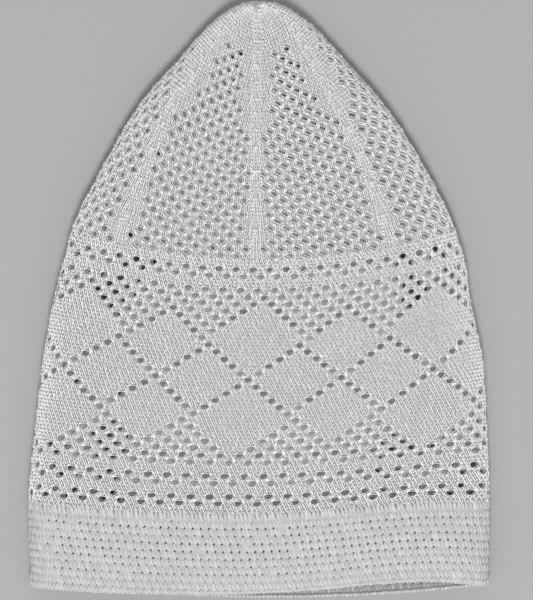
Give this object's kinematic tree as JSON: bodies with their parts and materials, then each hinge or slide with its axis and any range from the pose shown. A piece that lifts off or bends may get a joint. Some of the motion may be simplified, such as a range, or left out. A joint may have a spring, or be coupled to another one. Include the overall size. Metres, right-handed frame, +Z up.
{
  "type": "pointed openwork knitted prayer cap lying flat",
  "caption": "Pointed cotton knit cap lying flat, with a dense rim band, a lace wall of eyelet diamonds and a gored mesh crown; the mouth is open at the rim.",
  "frame": {"origin": "the middle of the bounding box in X and Y, on the flat underside that the cap lies on", "axes": "+Y runs from the rim to the tip, +X runs across the lying cap, and +Z is up through its two layers"},
  "size_m": [0.1711, 0.2214, 0.0166],
  "materials": {
    "band_knit": "matt off-white cotton, dense knit",
    "lace_knit": "matt off-white cotton, fine lace knit",
    "crown_knit": "matt off-white cotton, mesh knit"
  },
  "bodies": {
    "root": {"rim_band": "band_knit", "lace_wall": "lace_knit", "crown": "crown_knit"}
  },
  "joints": []
}
